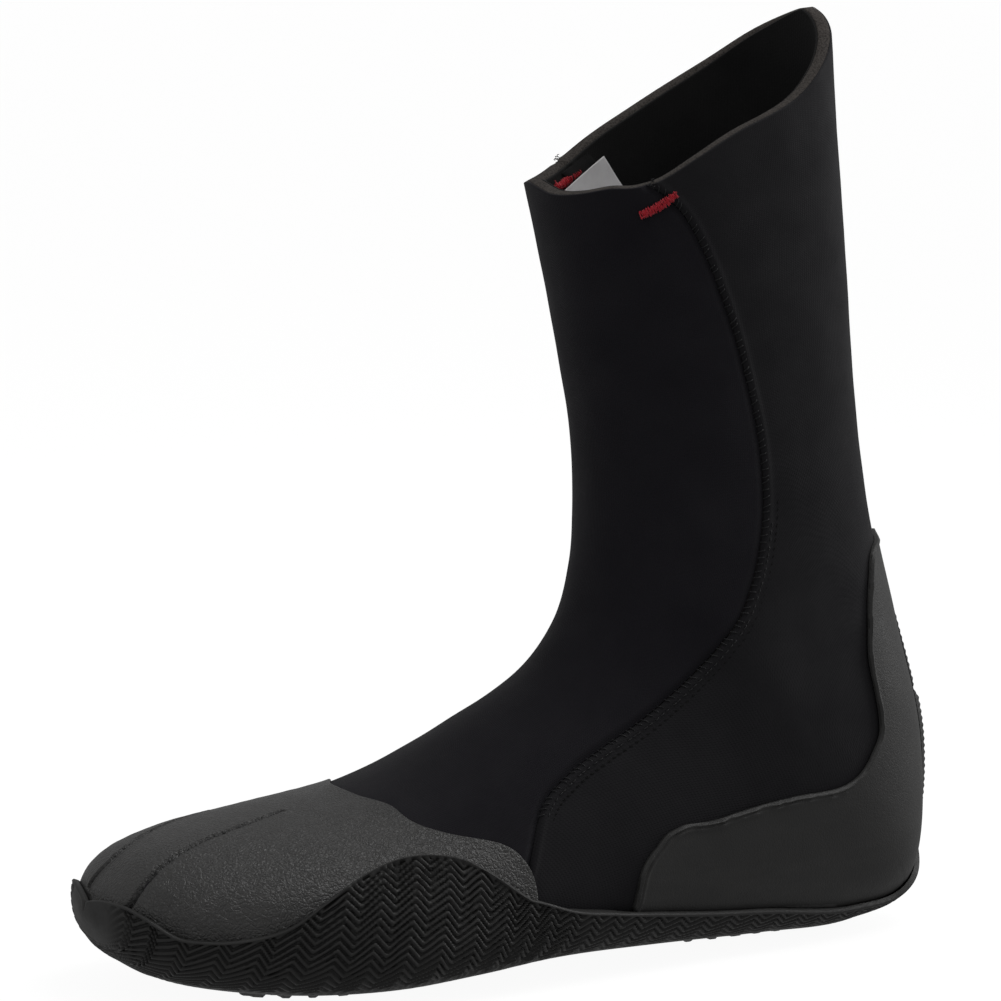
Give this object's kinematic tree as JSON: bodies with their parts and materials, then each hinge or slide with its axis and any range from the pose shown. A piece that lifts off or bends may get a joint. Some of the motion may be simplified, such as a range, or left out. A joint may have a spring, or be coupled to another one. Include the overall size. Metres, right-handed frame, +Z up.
{
  "type": "neoprene boot",
  "caption": "High neoprene water sports boot for the left foot, with rubber toe and heel caps, a herringbone outsole and a slanted open collar.",
  "frame": {"origin": "middle of the boot's bounding box, on the floor under the tread", "axes": "-Y towards the toe, +Y towards the heel, +X towards the outer side of the left foot, +Z up to the collar"},
  "size_m": [0.1091, 0.2856, 0.2941],
  "materials": {
    "neoprene_foam": "matte closed-cell foam, cut edge at the collar",
    "front_jersey": "smooth black nylon jersey",
    "back_jersey": "black nylon jersey with a slightly coarser knit",
    "lining_jersey": "black knitted lining",
    "seam_tape": "thin black glued tape",
    "seam_thread": "black blind-stitch thread",
    "red_thread": "dense red bar tack thread",
    "board": "dark stiff board",
    "toe_rubber": "dark grey rubber with a fine wrinkled grain",
    "heel_rubber": "dark grey smooth rubber, satin",
    "sole_rubber": "black moulded rubber with herringbone relief",
    "label_satin": "white printed satin, printing left out"
  },
  "bodies": {
    "boot": {"front_panel": "neoprene_foam", "back_panel": "neoprene_foam", "sole_panel": "neoprene_foam", "front_facing": "front_jersey", "back_facing": "back_jersey", "front_lining": "lining_jersey", "back_lining": "lining_jersey", "sole_lining": "lining_jersey", "lateral_seam_tape": "seam_tape", "medial_seam_tape": "seam_tape", "lateral_seam_stitches": "seam_thread", "medial_seam_stitches": "seam_thread", "lateral_bar_tack": "red_thread", "medial_bar_tack": "red_thread", "insole_board": "board", "toe_cap": "toe_rubber", "heel_cap": "heel_rubber", "kick_pad": "heel_rubber", "outsole": "sole_rubber"},
    "label": {"care_label": "label_satin"}
  },
  "joints": [
    {"name": "label_swing", "type": "hinge", "parent": "boot", "child": "label", "pos_m": [-0.02049, 0.02413, 0.23592], "axis": [0, 0.55, -0.8352], "range_deg": [0, 90]}
  ]
}
